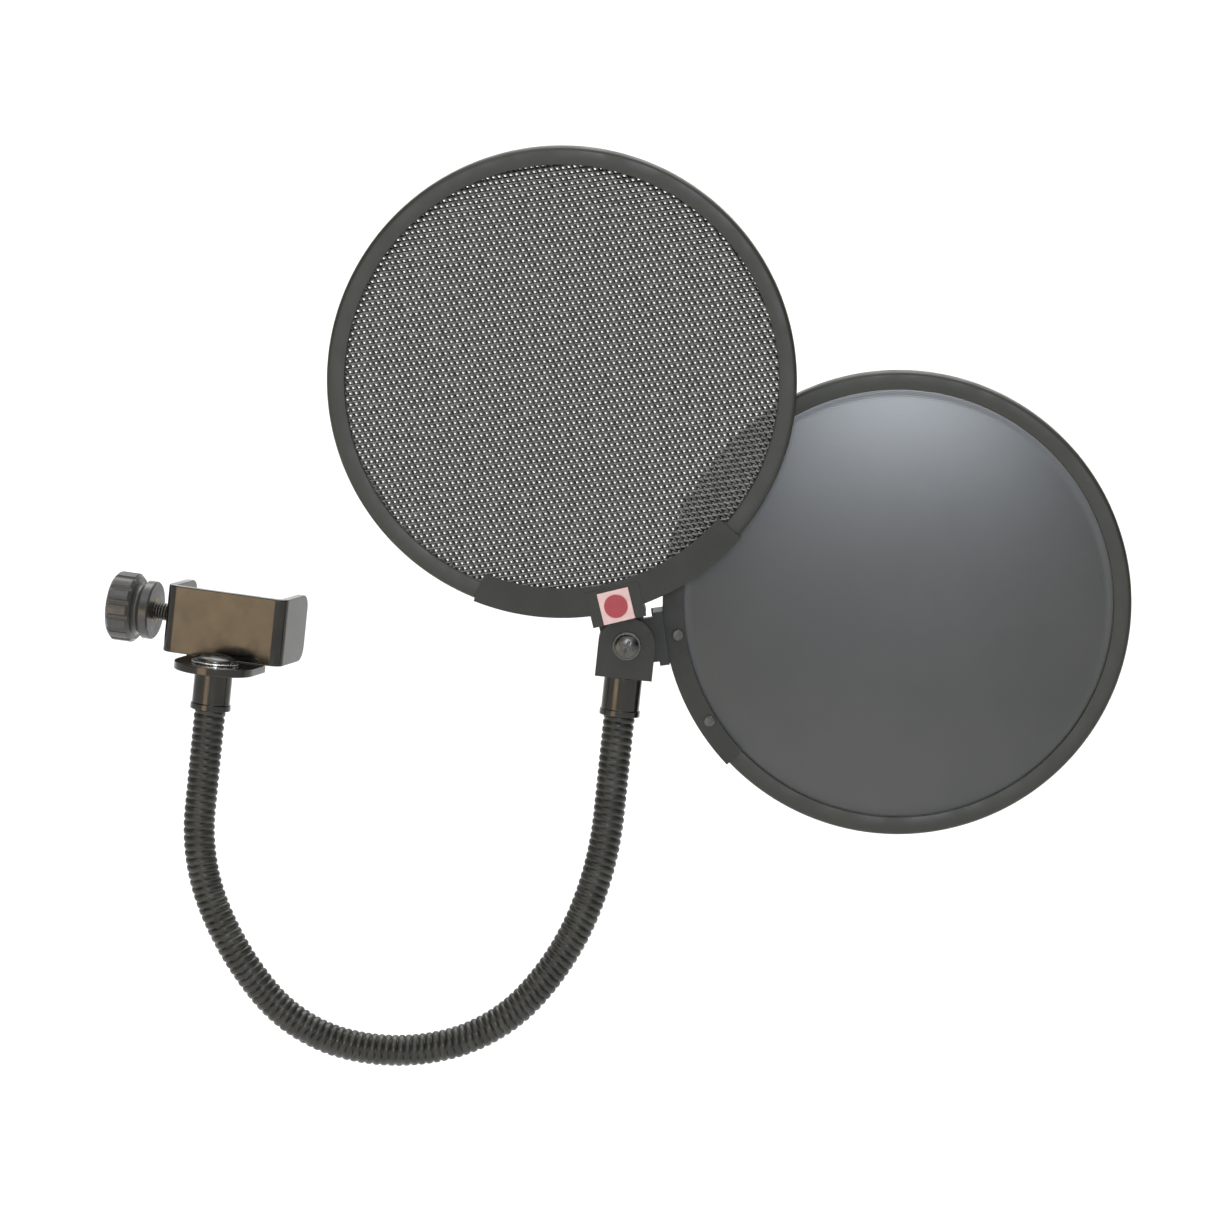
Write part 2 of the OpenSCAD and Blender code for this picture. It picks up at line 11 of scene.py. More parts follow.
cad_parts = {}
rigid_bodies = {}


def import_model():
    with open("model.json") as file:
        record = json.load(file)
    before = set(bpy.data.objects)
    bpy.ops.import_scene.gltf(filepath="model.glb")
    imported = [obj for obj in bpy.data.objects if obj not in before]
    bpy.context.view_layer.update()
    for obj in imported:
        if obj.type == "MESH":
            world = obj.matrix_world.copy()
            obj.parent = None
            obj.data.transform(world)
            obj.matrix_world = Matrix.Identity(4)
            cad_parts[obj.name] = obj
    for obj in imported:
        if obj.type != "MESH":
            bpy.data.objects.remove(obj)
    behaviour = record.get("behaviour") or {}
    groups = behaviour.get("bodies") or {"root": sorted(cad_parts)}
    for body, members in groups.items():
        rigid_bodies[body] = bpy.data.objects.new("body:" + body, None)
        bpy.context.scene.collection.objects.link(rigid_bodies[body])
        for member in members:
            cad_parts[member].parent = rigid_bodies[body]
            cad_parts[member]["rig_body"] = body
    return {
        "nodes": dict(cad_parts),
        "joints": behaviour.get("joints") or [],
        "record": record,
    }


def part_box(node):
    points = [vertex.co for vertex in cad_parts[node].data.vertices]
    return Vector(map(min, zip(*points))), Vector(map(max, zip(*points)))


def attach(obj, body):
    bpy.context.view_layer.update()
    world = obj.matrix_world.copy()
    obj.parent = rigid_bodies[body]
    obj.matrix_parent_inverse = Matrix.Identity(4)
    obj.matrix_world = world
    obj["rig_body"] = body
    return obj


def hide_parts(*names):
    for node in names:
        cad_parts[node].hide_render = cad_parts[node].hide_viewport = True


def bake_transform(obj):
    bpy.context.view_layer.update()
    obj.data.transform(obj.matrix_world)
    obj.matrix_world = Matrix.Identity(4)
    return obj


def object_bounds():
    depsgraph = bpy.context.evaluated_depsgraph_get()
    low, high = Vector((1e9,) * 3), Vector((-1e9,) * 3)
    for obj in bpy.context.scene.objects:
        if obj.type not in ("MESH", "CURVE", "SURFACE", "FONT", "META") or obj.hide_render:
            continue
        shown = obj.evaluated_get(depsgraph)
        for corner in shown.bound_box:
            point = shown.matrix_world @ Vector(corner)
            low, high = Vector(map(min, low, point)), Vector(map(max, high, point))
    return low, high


MM = 0.001
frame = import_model()
nodes = frame["nodes"]
cad_low, cad_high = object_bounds()
slots = {row["node"]: row["material_slot"] for row in frame["record"]["subparts"]}
joints = {row["name"]: row for row in frame["joints"]}


# ---- camera, stage and light ----

VIEW_WIDTH = 0.406
VIEW_ELEVATION = math.radians(7)
VIEW_ROLL = math.radians(6)
# The view is centred this far from the screens' pivot.
VIEW_PAST_PIVOT = Vector((-0.006, 0, 0.010))
CAMERA_DISTANCE = 3.0
SENSOR_MM = 36.0
PIVOT = Vector(joints["metal_screen_swing"]["pos_m"])


def place_camera():
    """Looks square at the screens from slightly above, rolled so that the clamp and the hub lean."""
    target = PIVOT + VIEW_PAST_PIVOT
    back = Vector((0, -math.cos(VIEW_ELEVATION), math.sin(VIEW_ELEVATION)))
    data = bpy.data.cameras.new("camera")
    data.sensor_width = SENSOR_MM
    data.lens = SENSOR_MM * CAMERA_DISTANCE / VIEW_WIDTH
    camera = bpy.data.objects.new("camera", data)
    bpy.context.scene.collection.objects.link(camera)
    turn = back.to_track_quat("Z", "Y").to_matrix().to_4x4()
    roll = Matrix.Rotation(VIEW_ROLL, 4, "Z")
    camera.matrix_world = Matrix.Translation(target + back * CAMERA_DISTANCE) @ turn @ roll
    bpy.context.scene.camera = camera
    return target


def soft_light(name, target, direction, distance, size, radiance, colour=(1, 1, 1)):
    """A round soft light that the camera doesn't see, aimed at target from a direction.

    size is its diameter, and radiance is how bright its face is, in watts per square metre and steradian.
    """
    data = bpy.data.lights.new(name, "AREA")
    data.shape = "DISK"
    data.size = size
    data.energy = radiance * math.pi * math.pi * (size / 2) ** 2
    data.color = colour
    light = bpy.data.objects.new(name, data)
    way = Vector(direction).normalized()
    light.location = target + way * distance
    light.rotation_euler = way.to_track_quat("Z", "Y").to_euler()
    light.visible_camera = False
    bpy.context.scene.collection.objects.link(light)


WORLD_FRONT = 0.15
WORLD_TOP = 1.5
WORLD_RISE = (0.1, 0.9)
WORLD_SIDE_SHARE = 0.12
WORLD_SIDE_FADE = (0.35, 0.85)


def set_world():
    """A studio that is bright above, dimmer in front and dark at both sides."""
    world = bpy.data.worlds.new("studio")
    world.use_nodes = True
    tree = world.node_tree
    place = tree.nodes.new("ShaderNodeTexCoord")
    split = tree.nodes.new("ShaderNodeSeparateXYZ")
    tree.links.new(place.outputs["Generated"], split.inputs["Vector"])
    sideways = tree.nodes.new("ShaderNodeMath")
    sideways.operation = "ABSOLUTE"
    tree.links.new(split.outputs["X"], sideways.inputs[0])

    def ramp(value, span, low, high):
        """Runs smoothly from low to high as value crosses the span."""
        made = tree.nodes.new("ShaderNodeMapRange")
        made.interpolation_type = "SMOOTHSTEP"
        for key, number in zip(("From Min", "From Max", "To Min", "To Max"), (*span, low, high)):
            made.inputs[key].default_value = number
        tree.links.new(value, made.inputs["Value"])
        return made.outputs["Result"]

    product = tree.nodes.new("ShaderNodeMath")
    product.operation = "MULTIPLY"
    rise = ramp(split.outputs["Z"], WORLD_RISE, WORLD_FRONT, WORLD_TOP)
    fade = ramp(sideways.outputs[0], WORLD_SIDE_FADE, 1, WORLD_SIDE_SHARE)
    tree.links.new(rise, product.inputs[0])
    tree.links.new(fade, product.inputs[1])
    tree.links.new(product.outputs[0], tree.nodes["Background"].inputs["Strength"])
    tree.nodes["Background"].inputs["Color"].default_value = (1, 1, 1, 1)
    bpy.context.scene.world = world


SKY_TINT = (0.84, 0.91, 1.0)
BOUNCE_TINT = (1.0, 0.70, 0.42)
BACKDROP_SETBACK = Vector((0, 2.6, 0))


def light_scene(target):
    """Overall light from above, one cool window in the nylon and one warm patch on the clamp's web."""
    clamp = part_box("clamp_bracket")[0]
    screen = sum(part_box("fabric_front"), Vector()) / 2
    soft_light("key", target, (-0.45, -0.75, 0.85), distance=1.8, size=0.9, radiance=1.8)
    soft_light("top", target, (0.1, 0.15, 1.0), distance=1.6, size=1.0, radiance=2.4)
    soft_light(
        "window", screen, (0.0, -1.0, 0.18), distance=2.2, size=0.45, radiance=29.0, colour=SKY_TINT
    )
    soft_light(
        "warm_bounce", clamp, (-0.533, -0.837, -0.122),
        distance=1.2, size=0.55, radiance=2.9, colour=BOUNCE_TINT,
    )
    soft_light(
        "backdrop", target + BACKDROP_SETBACK, (0, -0.3, 1.0), distance=2.6, size=3.0, radiance=3.0
    )


FLOOR_DROP = 0.42
FLOOR_HALF = 40.0
WALL_Y = 4.5
WALL_TOP = 6.0
WALL_BEND = 1.2
WALL_BEND_STEPS = 16


def make_stage():
    """A pale floor, well below the hanging screens, that curves up into a wall behind the object."""
    floor_z = cad_low.z - FLOOR_DROP
    bend_y = WALL_Y - WALL_BEND
    profile = [(-FLOOR_HALF, floor_z), (bend_y, floor_z)]
    for i in range(1, WALL_BEND_STEPS + 1):
        a = math.radians(90 * i / WALL_BEND_STEPS)
        profile.append((bend_y + WALL_BEND * math.sin(a), floor_z + WALL_BEND * (1 - math.cos(a))))
    profile.append((WALL_Y, WALL_TOP))
    verts = [(x, y, z) for y, z in profile for x in (-FLOOR_HALF, FLOOR_HALF)]
    faces = [(2 * i, 2 * i + 1, 2 * i + 3, 2 * i + 2) for i in range(len(profile) - 1)]
    floor = mesh_object("floor", verts, faces, smooth=180)
    floor.data.materials.append(floor_paint())


# ---- mesh helpers ----


def mesh_object(name, verts, faces, smooth):
    """A mesh object, shaded smooth except across edges sharper than smooth degrees."""
    mesh = bpy.data.meshes.new(name)
    mesh.from_pydata([tuple(map(float, v)) for v in verts], [], [tuple(map(int, f)) for f in faces])
    mesh.update()
    mesh.shade_smooth()
    mesh.set_sharp_from_angle(angle=math.radians(smooth))
    obj = bpy.data.objects.new(name, mesh)
    bpy.context.scene.collection.objects.link(obj)
    return obj


def finish_piece(obj, node):
    """Gives a piece the body, slot and material of the CAD node that it stands for."""
    obj.data.materials.clear()
    obj.data.materials.append(paint[slots[node]])
    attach(obj, nodes[node]["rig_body"])
    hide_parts(node)


def grid_faces(rows, columns, close_rows=False):
    """Quads of a grid of rows by columns of points, in row order, each row closed on itself."""
    faces = []
    for i in range(rows if close_rows else rows - 1):
        for j in range(columns):
            a, b = i * columns + j, i * columns + (j + 1) % columns
            c, d = ((i + 1) % rows) * columns + (j + 1) % columns, ((i + 1) % rows) * columns + j
            faces.append((a, b, c, d))
    return faces


MERGE_DISTANCE = 0.002 * MM
FLAT_ANGLE = math.radians(0.4)
SHARP_ANGLE = math.radians(28)


def refine(name, bevel):
    """A finished copy of a CAD node: flat faces made whole and every hard edge rounded."""
    source = nodes[name].data
    bm = bmesh.new()
    bm.from_mesh(source)
    bmesh.ops.remove_doubles(bm, verts=bm.verts, dist=MERGE_DISTANCE)
    bmesh.ops.dissolve_limit(bm, angle_limit=FLAT_ANGLE, verts=bm.verts, edges=bm.edges)
    verts = [v.co.copy() for v in bm.verts]
    bm.verts.index_update()
    faces = [[v.index for v in f.verts] for f in bm.faces]
    bm.free()
    obj = mesh_object(name + "_piece", verts, faces, smooth=180)
    rounding = obj.modifiers.new("edges", "BEVEL")
    rounding.width = bevel
    rounding.segments = 3
    rounding.limit_method = "ANGLE"
    rounding.angle_limit = SHARP_ANGLE
    flatness = obj.modifiers.new("flat_faces", "WEIGHTED_NORMAL")
    flatness.weight = 100
    apply_modifiers(obj)
    finish_piece(obj, name)


def apply_modifiers(obj):
    """Swaps the object's mesh for what its modifiers make of it."""
    graph = bpy.context.evaluated_depsgraph_get()
    made = bpy.data.meshes.new_from_object(obj.evaluated_get(graph))
    obj.modifiers.clear()
    obj.data = made


LATHE_SIDES = 256


def lathe(name, profile, centre, node):
    """A closed profile of (radius, y) points turned about the Y axis through centre, for a CAD node."""
    verts = []
    for r, y in profile:
        for j in range(LATHE_SIDES):
            a = 2 * math.pi * j / LATHE_SIDES
            verts.append((centre.x + r * math.cos(a), y, centre.z + r * math.sin(a)))
    faces = grid_faces(len(profile), LATHE_SIDES, close_rows=True)
    obj = mesh_object(name, verts, faces, smooth=35)
    face_outwards(obj)
    finish_piece(obj, node)


def face_outwards(obj):
    """Turns every face of a closed mesh outwards."""
    bm = bmesh.new()
    bm.from_mesh(obj.data)
    bmesh.ops.recalc_face_normals(bm, faces=bm.faces)
    bm.to_mesh(obj.data)
    bm.free()


def rounded_box(r0, r1, y0, y1, radius):
    """Closed profile of a rectangle with rounded corners, as (radius, y) points."""
    steps = 4
    points = []
    for cx, cy, start in (
        (r1 - radius, y1 - radius, 0),
        (r0 + radius, y1 - radius, 90),
        (r0 + radius, y0 + radius, 180),
        (r1 - radius, y0 + radius, 270),
    ):
        for i in range(steps + 1):
            a = math.radians(start + 90 * i / steps)
            points.append((cx + radius * math.cos(a), cy + radius * math.sin(a)))
    return points


# ---- material helpers ----


class Material:
    """A node material with a Principled shader, and short calls for what feeds it."""

    def __init__(self, name, colour, roughness, metallic=0.0, **sockets):
        self.material = bpy.data.materials.new(name)
        self.material.use_nodes = True
        self.tree = self.material.node_tree
        self.shader = self.tree.nodes["Principled BSDF"]
        self.colour = colour
        self.shader.inputs["Base Color"].default_value = (*colour, 1)
        self.shader.inputs["Roughness"].default_value = roughness
        self.shader.inputs["Metallic"].default_value = metallic
        for key, value in sockets.items():
            self.shader.inputs[key.replace("_", " ")].default_value = value
        self.place = self.node("ShaderNodeTexCoord").outputs["Object"]
        self.height = None

    def node(self, kind, **values):
        """A new node; each value is set as its property or, failing that, its input socket."""
        made = self.tree.nodes.new(kind)
        for key, value in values.items():
            if hasattr(made, key):
                setattr(made, key, value)
            else:
                made.inputs[key.replace("_", " ")].default_value = value
        return made

    def link(self, a, b):
        """Joins an output to an input."""
        self.tree.links.new(a, b)

    def noise(self, scale, detail=3.0, stretch=None):
        """Soft noise with scale cells a metre; stretch packs it closer along an axis."""
        made = self.node("ShaderNodeTexNoise", Scale=scale, Detail=detail)
        place = self.place
        if stretch:
            mapping = self.node("ShaderNodeMapping")
            mapping.inputs["Scale"].default_value = stretch
            self.link(place, mapping.inputs["Vector"])
            place = mapping.outputs["Vector"]
        self.link(place, made.inputs["Vector"])
        return made.outputs["Fac"]

    def wave(self, scale, axis, distortion):
        """Parallel bands along an axis, scale times in WAVE_UNIT; distortion makes them waver."""
        made = self.node("ShaderNodeTexWave", bands_direction=axis, Scale=scale, Distortion=distortion)
        self.link(self.place, made.inputs["Vector"])
        return made.outputs["Fac"]

    def remap(self, value, low, high, start=0.35, end=0.65):
        """Runs from low to high as value goes from start to end."""
        made = self.node("ShaderNodeMapRange")
        made.inputs["From Min"].default_value = start
        made.inputs["From Max"].default_value = end
        made.inputs["To Min"].default_value = low
        made.inputs["To Max"].default_value = high
        self.link(value, made.inputs["Value"])
        return made.outputs["Result"]

    def vary_colour(self, value, other, start=0.35, end=0.65):
        """Runs from the base colour to other as value goes from start to end."""
        mix = self.node("ShaderNodeMix", data_type="RGBA")
        mix.inputs[6].default_value = (*self.colour, 1)
        mix.inputs[7].default_value = (*other, 1)
        self.link(self.remap(value, 0, 1, start, end), mix.inputs["Factor"])
        self.link(mix.outputs[2], self.shader.inputs["Base Color"])

    def vary_roughness(self, value, low, high):
        """Runs the roughness from low to high with value."""
        self.link(self.remap(value, low, high), self.shader.inputs["Roughness"])

    def bump(self, value, distance, strength):
        """Adds value as relief of the given depth, on top of any relief so far."""
        made = self.node("ShaderNodeBump", Distance=distance, Strength=strength)
        self.link(value, made.inputs["Height"])
        if self.height:
            self.link(self.height, made.inputs["Normal"])
        self.height = made.outputs["Normal"]
        self.link(self.height, self.shader.inputs["Normal"])


def floor_paint():
    """Matt white studio paint."""
    made = Material("floor_paint", (0.92, 0.92, 0.92), 0.85)
    made.vary_roughness(made.noise(40), 0.8, 0.9)
    return made.material


def scaled(colour, share):
    """The colour, lighter or darker by a share."""
    return tuple(c * share for c in colour)


MOULD_GRAIN = 2600


def moulded_plastic(name, colour, roughness, depth=0.02 * MM, **sockets):
    """Moulded plastic: a fine spark-eroded grain, faint flow marks and handled patches."""
    made = Material(name, colour, roughness, **sockets)
    made.vary_colour(made.noise(45), scaled(colour, 1.18))
    made.vary_roughness(made.noise(120, 5), roughness - 0.06, roughness + 0.07)
    made.bump(made.noise(MOULD_GRAIN, 2), depth, 0.6)
    return made.material


def enamel():
    """Glossy black enamel over metal, with orange peel and a few dull handling marks."""
    made = Material("black_enamel", (0.047, 0.046, 0.042), 0.16, metallic=0.95)
    made.vary_colour(made.noise(90, 4), (0.056, 0.054, 0.048))
    made.vary_roughness(made.noise(160, 5), 0.12, 0.24)
    made.bump(made.noise(700, 2), 0.010 * MM, 0.4)
    return made.material


def plated_steel(name, colour, roughness):
    """Bright plate with turning marks and slight tarnish."""
    made = Material(name, colour, roughness, metallic=1.0)
    made.vary_colour(made.noise(180, 5), scaled(colour, 0.8))
    made.vary_roughness(made.noise(500, 4), roughness - 0.06, roughness + 0.12)
    made.bump(made.noise(2200, 2, stretch=(1, 1, 6)), 0.008 * MM, 0.5)
    return made.material


def rubber():
    """Dull black rubber with dusty patches."""
    made = Material("jaw_rubber", (0.022, 0.022, 0.021), 0.75)
    made.vary_colour(made.noise(110, 4), (0.036, 0.035, 0.034))
    made.bump(made.noise(1500, 3), 0.04 * MM, 0.8)
    return made.material


def wound_steel():
    """Satin black finish on the wound strip, rubbed a little thin in patches."""
    made = Material("neck_black", (0.022, 0.022, 0.018), 0.36, metallic=0.4)
    made.vary_colour(made.noise(150, 5), (0.044, 0.043, 0.036), 0.45, 0.75)
    made.vary_roughness(made.noise(260, 4), 0.30, 0.46)
    made.bump(made.noise(3000, 2), 0.01 * MM, 0.4)
    return made.material


def grille_wire():
    """Slit and stretched sheet, etched and painted grey."""
    made = Material("mesh_wire", (0.095, 0.095, 0.086), 0.28, metallic=0.9)
    made.vary_colour(made.noise(400, 3), (0.16, 0.16, 0.148))
    made.vary_roughness(made.noise(900, 3), 0.22, 0.36)
    made.bump(made.noise(4000, 2), 0.01 * MM, 0.4)
    return made.material


NYLON_THREAD = 0.55 * MM
NYLON_RELIEF = NYLON_THREAD / 50
# A wave texture of scale 1 repeats once in this length, in metres.
WAVE_UNIT = 2 * math.pi / 20


def nylon():
    """Fine stretched knit: crossed threads, a soft sheen, and slight uneven dye."""
    made = Material(
        "nylon", (0.012, 0.012, 0.010), 0.30, Specular_IOR_Level=0.85,
        Sheen_Weight=0.08, Sheen_Roughness=0.35, Sheen_Tint=(0.86, 0.90, 1.0, 1),
    )
    made.vary_colour(made.noise(30, 6), (0.019, 0.019, 0.016))
    scale = WAVE_UNIT / NYLON_THREAD
    for axis in "XZ":
        made.bump(made.wave(scale, axis, 0.4), NYLON_RELIEF, 0.5)
    return made.material


def enamelled(name, colour, roughness):
    """Hard enamel under a clear coat, for the badge."""
    made = Material(name, colour, roughness, Coat_Weight=0.6)
    made.vary_colour(made.noise(300, 3), scaled(colour, 0.88))
    made.bump(made.noise(900, 2), 0.01 * MM, 0.4)
    return made.material


OLIVE = (0.020, 0.020, 0.014)
paint = {
    "black_enamel": enamel(),
    "zinc_plate": plated_steel("zinc_plate", (0.66, 0.66, 0.64), 0.2),
    "black_oxide": plated_steel("black_oxide", (0.10, 0.098, 0.090), 0.26),
    "jaw_rubber": rubber(),
    "knob_plastic": moulded_plastic("knob_plastic", (0.032, 0.032, 0.029), 0.30, depth=0.012 * MM),
    "brass_bush": plated_steel("brass_bush", (0.20, 0.15, 0.075), 0.36),
    "neck_black": wound_steel(),
    "spring_steel": plated_steel("spring_steel", (0.40, 0.40, 0.38), 0.35),
    "arm_plastic": moulded_plastic("arm_plastic", scaled(OLIVE, 0.75), 0.45, Specular_IOR_Level=0.35),
    "hoop_plastic": moulded_plastic("hoop_plastic", OLIVE, 0.42, Specular_IOR_Level=0.42),
    "mesh_wire": grille_wire(),
    "nylon": nylon(),
    "badge_pale": enamelled("badge_pale", (0.62, 0.42, 0.40), 0.35),
    "badge_red": enamelled("badge_red", (0.30, 0.018, 0.03), 0.25),
}


# ---- gooseneck ----

WIND_PITCH = 2.4 * MM
WIND_DEPTH = 0.6 * MM
WIND_STEP = 0.3 * MM
WIND_SIDES = 40
# How far the winding runs on inside each ferrule.
NECK_SOCKET = 6 * MM
NECK_HINGES = 8
# This share of a link's length to each side of a hinge gives two points that make_neck works out but does
# not use.
HINGE_REACH = 0.42


def neck_links():
    """Each link of the neck as (start, heading, bend, length) in the X-Z plane, from the hinges."""
    hinges = [Vector(joints[f"neck_bend_{k}"]["pos_m"]) for k in range(1, NECK_HINGES + 1)]
    first = Vector((hinges[0].x, hinges[0].y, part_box("ferrule_lower")[0].z))
    last = Vector((hinges[-1].x, hinges[-1].y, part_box("ferrule_upper")[0].z))
    points = [first, *hinges, last]
    links, heading = [], -math.pi / 2
    for a, b in zip(points, points[1:]):
        chord = b - a
        bend = 2 * ((math.atan2(chord.z, chord.x) - heading + math.pi) % (2 * math.pi) - math.pi)
        half = bend / 2
        length = chord.length * (half / math.sin(half) if abs(half) > 1e-4 else 1)
        links.append((a, heading, bend, length))
        heading += bend
    return links


def along(links, s):
    """Point and heading at distance s along the neck; straight on past either end."""
    k = 0
    while k < len(links) - 1 and s > links[k][3]:
        s -= links[k][3]
        k += 1
    start, heading, bend, length = links[k]
    inside = min(max(s, 0), length)
    turned = bend * inside / length
    chord = inside * (math.sin(turned / 2) / (turned / 2) if abs(turned) > 1e-6 else 1)
    a = heading + turned / 2
    point = start + Vector((math.cos(a), 0, math.sin(a))) * chord
    end = heading + turned
    return point + Vector((math.cos(end), 0, math.sin(end))) * (s - inside), end


def groove(phase):
    """Depth share of a wound strip at a phase of its pitch: round ridges, narrow grooves."""
    return (1 - np.abs(np.sin(np.pi * phase))) ** 1.6


def wound_tube(name, centre_at, s0, s1, radius, depth, pitch, step, sides):
    """A closed tube with one helical groove, round the line that centre_at gives from s0 to s1."""
    count = max(8, round((s1 - s0) / step))
    theta = np.arange(sides) * 2 * math.pi / sides
    verts = []
    for i in range(count + 1):
        s = s0 + (s1 - s0) * i / count
        point, heading = centre_at(s)
        normal = Vector((-math.sin(heading), 0, math.cos(heading)))
        radii = radius - depth * groove(s / pitch - theta / (2 * math.pi))
        for a, r in zip(theta, radii):
            verts.append(point + normal * (r * math.cos(a)) + Vector((0, r * math.sin(a), 0)))
    faces = grid_faces(count + 1, sides)
    faces.append(list(range(sides - 1, -1, -1)))
    faces.append(list(range(count * sides, (count + 1) * sides)))
    obj = mesh_object(name, verts, faces, smooth=50)
    face_outwards(obj)
    return obj


def make_neck():
    """The wound neck, one piece round each hinge; the pieces meet at mid-link."""
    links = neck_links()
    starts = np.concatenate([[0], np.cumsum([row[3] for row in links])])
    total = float(starts[-1])
    low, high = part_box("neck_wrap_1")
    radius = (high.x - low.x) / 2
    for k in range(1, NECK_HINGES + 1):
        is_last = k == NECK_HINGES
        s0 = -NECK_SOCKET if k == 1 else (starts[k - 1] + starts[k]) / 2
        s1 = total + NECK_SOCKET if is_last else (starts[k] + starts[k + 1]) / 2
        piece = wound_tube(
            f"neck_winding_{k}", lambda s: along(links, s), float(s0), float(s1),
            radius, WIND_DEPTH, WIND_PITCH, WIND_STEP, WIND_SIDES,
        )
        piece.data.materials.append(paint["neck_black"])
        parts = [f"neck_wrap_{k}", f"neck_core_{k}"]
        if is_last:
            parts += [f"neck_wrap_{k + 1}", f"neck_core_{k + 1}"]
        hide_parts(*parts)
        reach = links[k][3] * HINGE_REACH
        start, end = along(links, starts[k] - reach)[0], along(links, starts[k] + reach)[0]
        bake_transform(piece)


# ---- clamp screw ----

THREAD_PITCH = 1.0 * MM
THREAD_DEPTH = 0.45 * MM
THREAD_STEP = THREAD_PITCH / 8
THREAD_SIDES = 32


def make_clamp_screw():
    """The threaded rod, on the clamp's grip axis."""
    axis = Vector(joints["knob_turn"]["axis"]).normalized()
    low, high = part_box("clamp_screw")
    radius = (high.z - low.z) / 2
    left = low.x + radius * abs(axis.y)
    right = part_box("pressure_plate")[0].x + radius
    s0, s1 = left / axis.x, right / axis.x
    heading = math.atan2(axis.y, axis.x)

    def straight(s):
        """Point and heading at distance s along X."""
        return Vector((s, 0, 0)), 0.0

    piece = wound_tube(
        "clamp_screw_thread", straight, s0, s1,
        radius, THREAD_DEPTH, THREAD_PITCH, THREAD_STEP, THREAD_SIDES,
    )
    piece.data.transform(Matrix.Rotation(heading, 4, "Z"))
    finish_piece(piece, "clamp_screw")


# ---- screens ----

BAND = 6.0 * MM
FLANGE = 1.5 * MM
WALL = 1.8 * MM
HOOP_EDGE = 1.4 * MM
HOOP_LIP = 0.4 * MM


def round_facts(node):
    """Centre, outer radius, and front and back Y of a CAD ring or disc, from its box."""
    low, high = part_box(node)
    return (low + high) / 2, (high.z - low.z) / 2, low.y, high.y


def shell_profile(outer, front, back):
    """L-shaped hoop section: a flange at the front with a rounded edge, and a wall to the back."""
    inner = outer - BAND
    lip = HOOP_LIP
    points = [(inner, front + FLANGE), (inner, front + lip)]
    for i in range(1, 4):
        a = math.radians(30 * i)
        points.append((inner + lip * (1 - math.cos(a)), front + lip * (1 - math.sin(a))))
    for i in range(9):
        a = math.radians(90 * i / 8)
        points.append(
            (outer - HOOP_EDGE + HOOP_EDGE * math.sin(a), front + HOOP_EDGE * (1 - math.cos(a)))
        )
    for i in range(5):
        a = math.radians(90 * i / 4)
        points.append((outer - lip + lip * math.cos(a), back - lip * (1 - math.sin(a))))
    points += [(outer - WALL, back), (outer - WALL, front + FLANGE)]
    return points


def shell_ring(name, node):
    """A screen's front hoop."""
    centre, outer, front, back = round_facts(node)
    lathe(name, shell_profile(outer, front, back), centre, node)


def plain_ring(name, node, radius=0.35 * MM):
    """A ring with rounded edges in place of a CAD ring."""
    centre, outer, front, back = round_facts(node)
    profile = rounded_box(ring_inner(node, centre), outer, front, back, radius)
    lathe(name, profile, centre, node)


def ring_inner(node, centre):
    """Bore radius of a CAD ring."""
    co = np.array([v.co for v in nodes[node].data.vertices])
    return float(np.hypot(co[:, 0] - centre.x, co[:, 2] - centre.z).min())


def make_hoops():
    """Both screens' hoops, the gasket that holds the mesh and the ring that stretches the nylon."""
    shell_ring("mesh_hoop", "metal_hoop_front")
    plain_ring("mesh_hoop_inner", "metal_hoop_rear")
    plain_ring("mesh_gasket", "metal_gasket", 0.2 * MM)
    shell_ring("nylon_hoop", "fabric_hoop_front")
    plain_ring("nylon_tension_hoop", "tension_hoop", 0.6 * MM)
    plain_ring("nylon_hoop_back", "fabric_hoop_rear")


CELL_LONG = 3.2 * MM
CELL_SHORT = 2.15 * MM
# A hole's width as a share of its cell's.
CELL_HOLE = 0.31
STRAND_LIFT = 0.36 * MM
SHEET_THICKNESS = 0.25 * MM
GRILLE_TURN = math.radians(-20)
GRILLE_INSET = 0.3 * MM
# The middle of a hole's side, as shares: how far out it stands, and how far it lifts.
SIDE_SPREAD = 0.56
SIDE_LIFT = 0.8
CORNERS = ((1, 0), (0, 1), (-1, 0), (0, -1))


